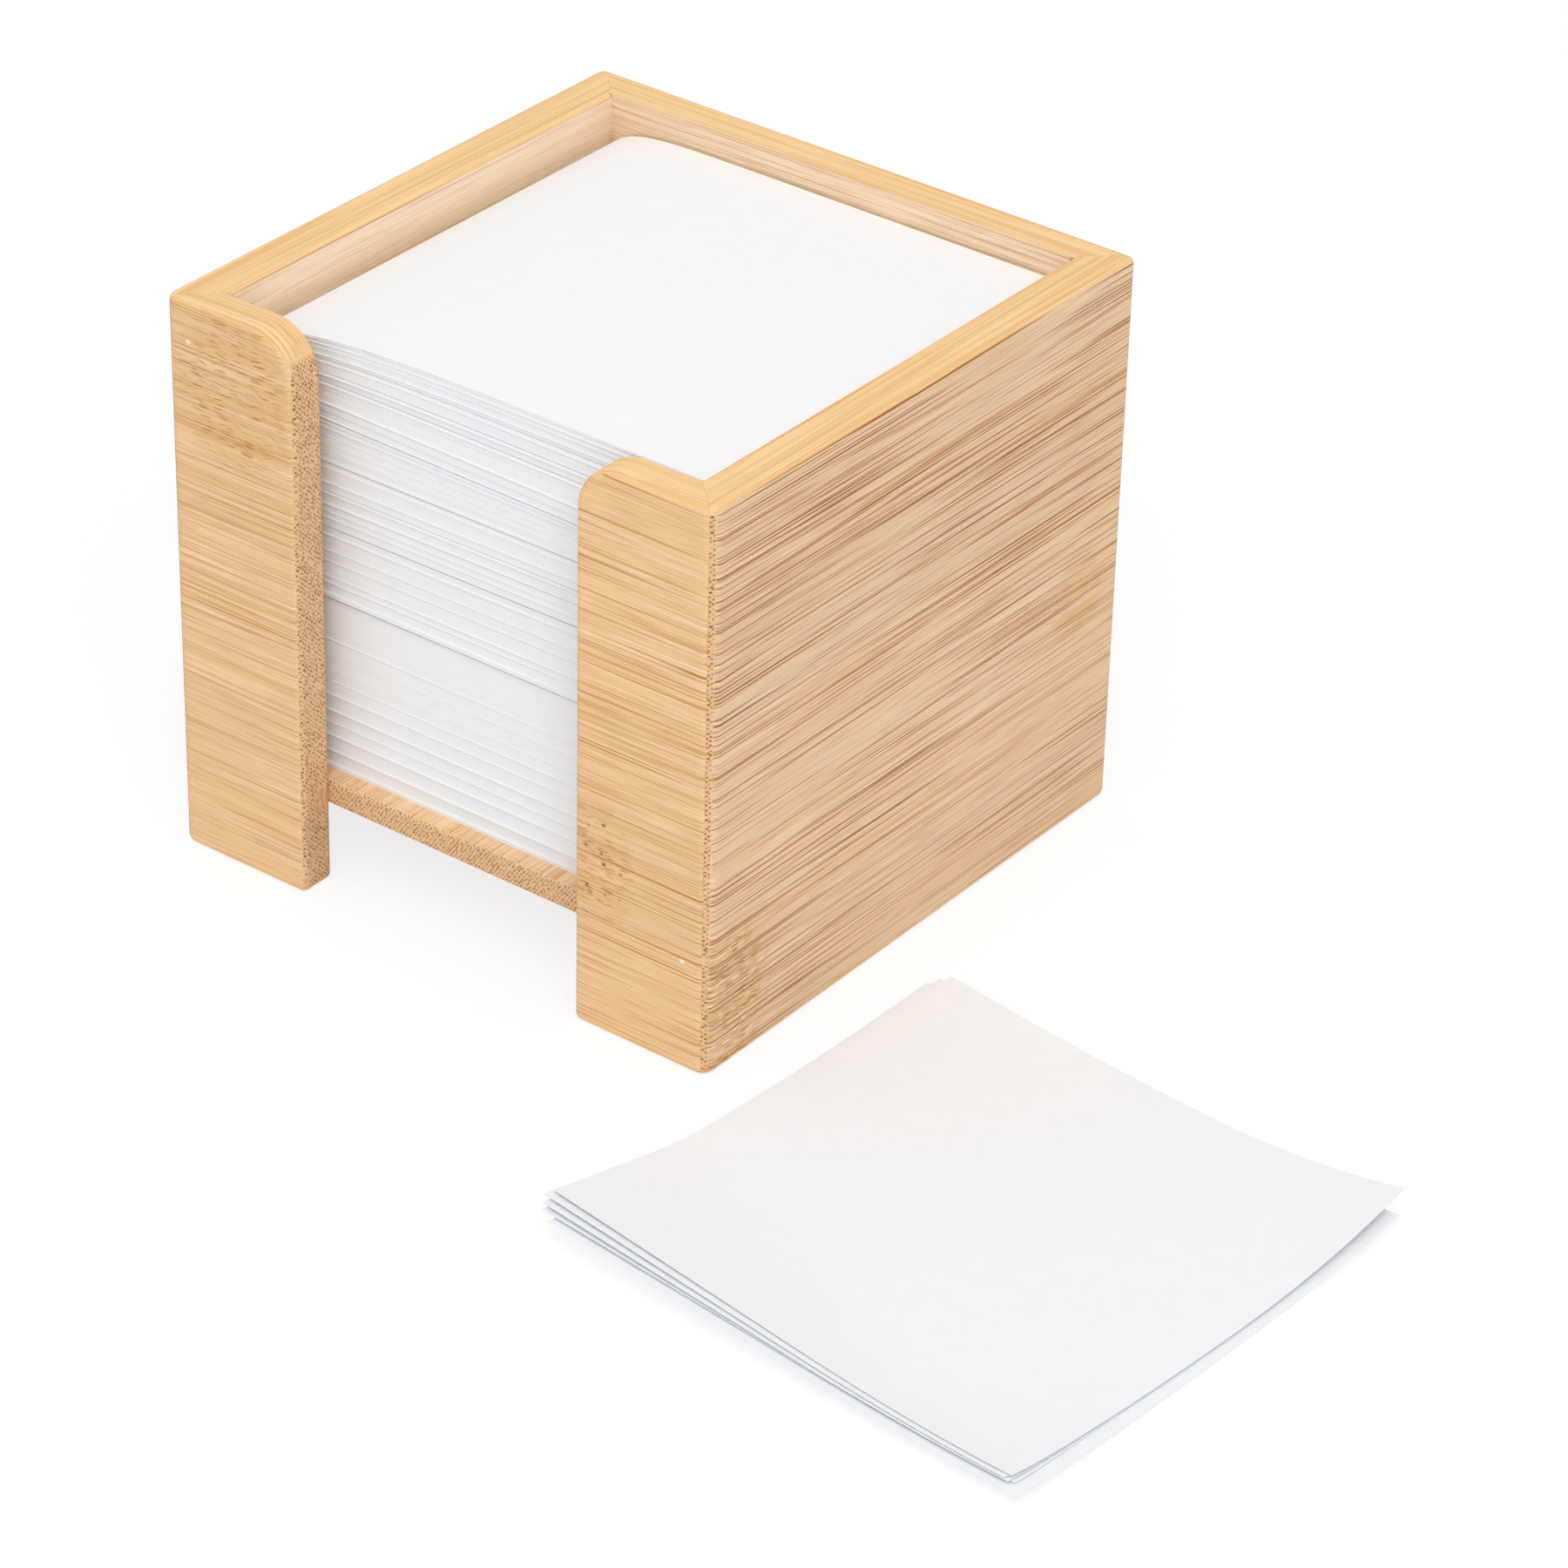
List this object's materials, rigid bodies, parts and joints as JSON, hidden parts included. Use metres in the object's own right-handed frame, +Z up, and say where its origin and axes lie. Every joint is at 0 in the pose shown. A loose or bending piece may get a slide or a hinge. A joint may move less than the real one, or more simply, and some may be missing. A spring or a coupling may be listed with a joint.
{
  "type": "memo cube holder",
  "caption": "Square bamboo memo cube holder with mitred corners, a finger gap at the front and a raised floor, filled with white note sheets, with a few curled sheets lying beside it.",
  "frame": {"origin": "centre of the holder's underside, on the plane it stands on; the loose sheets lie beside it, so this isn't the centre of the whole box", "axes": "+Z up; -Y is the front, where the finger gap is; +X is to the right, where the loose sheets lie"},
  "size_m": [0.1988, 0.1525, 0.095],
  "materials": {
    "bamboo_board": "sanded laminated bamboo with a thin satin clear coat",
    "base_bamboo": "sanded laminated bamboo, grain from front to back",
    "wood_filler": "light wood filler, sanded flush",
    "note_paper": "white uncoated writing paper, matt"
  },
  "bodies": {
    "holder": {"left_side": "bamboo_board", "right_side": "bamboo_board", "back_board": "bamboo_board", "front_left_post": "bamboo_board", "front_right_post": "bamboo_board", "base_board": "base_bamboo", "groove_filler_left": "wood_filler", "groove_filler_right": "wood_filler"},
    "paper_block": {"paper_block": "note_paper"},
    "sheet_pack_1": {"sheet_pack_1": "note_paper"},
    "sheet_pack_2": {"sheet_pack_2": "note_paper"},
    "sheet_pack_3": {"sheet_pack_3": "note_paper"},
    "sheet_pack_4": {"sheet_pack_4": "note_paper"},
    "top_sheet": {"top_sheet": "note_paper"},
    "loose_sheet_1": {"loose_sheet_1": "note_paper"},
    "loose_sheet_2": {"loose_sheet_2": "note_paper"},
    "loose_sheet_3": {"loose_sheet_3": "note_paper"},
    "loose_sheet_4": {"loose_sheet_4": "note_paper"},
    "loose_sheet_5": {"loose_sheet_5": "note_paper"}
  },
  "joints": [
    {"name": "paper_block_lift", "type": "slide", "parent": "holder", "child": "paper_block", "axis": [0, 0, 1], "range_m": [0, 0.08]},
    {"name": "sheet_pack_1_lift", "type": "slide", "parent": "paper_block", "child": "sheet_pack_1", "axis": [0, 0, 1], "range_m": [0, 0.05]},
    {"name": "sheet_pack_2_lift", "type": "slide", "parent": "sheet_pack_1", "child": "sheet_pack_2", "axis": [0, 0, 1], "range_m": [0, 0.04]},
    {"name": "sheet_pack_3_lift", "type": "slide", "parent": "sheet_pack_2", "child": "sheet_pack_3", "axis": [0, 0, 1], "range_m": [0, 0.028]},
    {"name": "sheet_pack_4_lift", "type": "slide", "parent": "sheet_pack_3", "child": "sheet_pack_4", "axis": [0, 0, 1], "range_m": [0, 0.02]},
    {"name": "top_sheet_lift", "type": "slide", "parent": "sheet_pack_4", "child": "top_sheet", "axis": [0, 0, 1], "range_m": [0, 0.015]},
    {"name": "loose_sheet_1_lift", "type": "slide", "parent": "holder", "child": "loose_sheet_1", "axis": [0, 0, 1], "range_m": [0, 0.03]},
    {"name": "loose_sheet_2_lift", "type": "slide", "parent": "loose_sheet_1", "child": "loose_sheet_2", "axis": [0, 0, 1], "range_m": [0, 0.02]},
    {"name": "loose_sheet_3_lift", "type": "slide", "parent": "loose_sheet_2", "child": "loose_sheet_3", "axis": [0, 0, 1], "range_m": [0, 0.02]},
    {"name": "loose_sheet_4_lift", "type": "slide", "parent": "loose_sheet_3", "child": "loose_sheet_4", "axis": [0, 0, 1], "range_m": [0, 0.02]},
    {"name": "loose_sheet_5_lift", "type": "slide", "parent": "loose_sheet_4", "child": "loose_sheet_5", "axis": [0, 0, 1], "range_m": [0, 0.02]}
  ]
}
